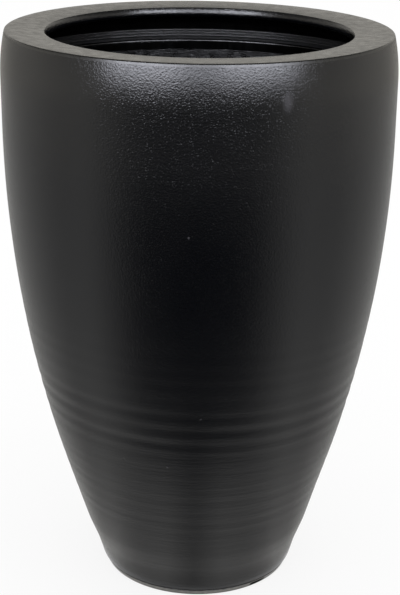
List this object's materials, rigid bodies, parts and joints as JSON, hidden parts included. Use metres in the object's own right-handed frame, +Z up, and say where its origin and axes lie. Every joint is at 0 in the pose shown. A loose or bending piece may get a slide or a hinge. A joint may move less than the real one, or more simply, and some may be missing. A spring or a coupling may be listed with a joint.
{
  "type": "tall fiberglass planter",
  "caption": "Tall round planter with a convex taper to a narrow foot, a wide flat rim with a rolled lip, a false floor on a notched foot ring and a lift-out drain plug.",
  "frame": {"origin": "on the ground under the centre of the foot", "axes": "+Z up along the planter's axis, -Y towards the viewer of the picture, +X to the viewer's right"},
  "size_m": [0.6099, 0.61, 0.9],
  "materials": {
    "shell_black": "satin black paint over turned fibreglass, fine orange peel",
    "rim_black": "satin black paint, smooth flat rim",
    "laminate_black": "rough laminate painted black",
    "adhesive_black": "cured adhesive",
    "foot_black": "satin black paint, rubbed at the edge",
    "bush_black": "moulded",
    "plug_rubber": "moulded rubber"
  },
  "bodies": {
    "planter": {"outer_shell": "shell_black", "rim_ring": "rim_black", "rim_bond_line": "adhesive_black", "rim_tape": "laminate_black", "inner_hoop": "laminate_black", "foot_ring": "foot_black", "foot_bond_line": "adhesive_black", "base_floor": "laminate_black", "floor_tape": "laminate_black", "drain_bush": "bush_black"},
    "plug": {"drain_plug": "plug_rubber"}
  },
  "joints": [
    {"name": "plug_lift", "type": "slide", "parent": "planter", "child": "plug", "axis": [0, 0, 1], "range_m": [0, 0.9]}
  ]
}
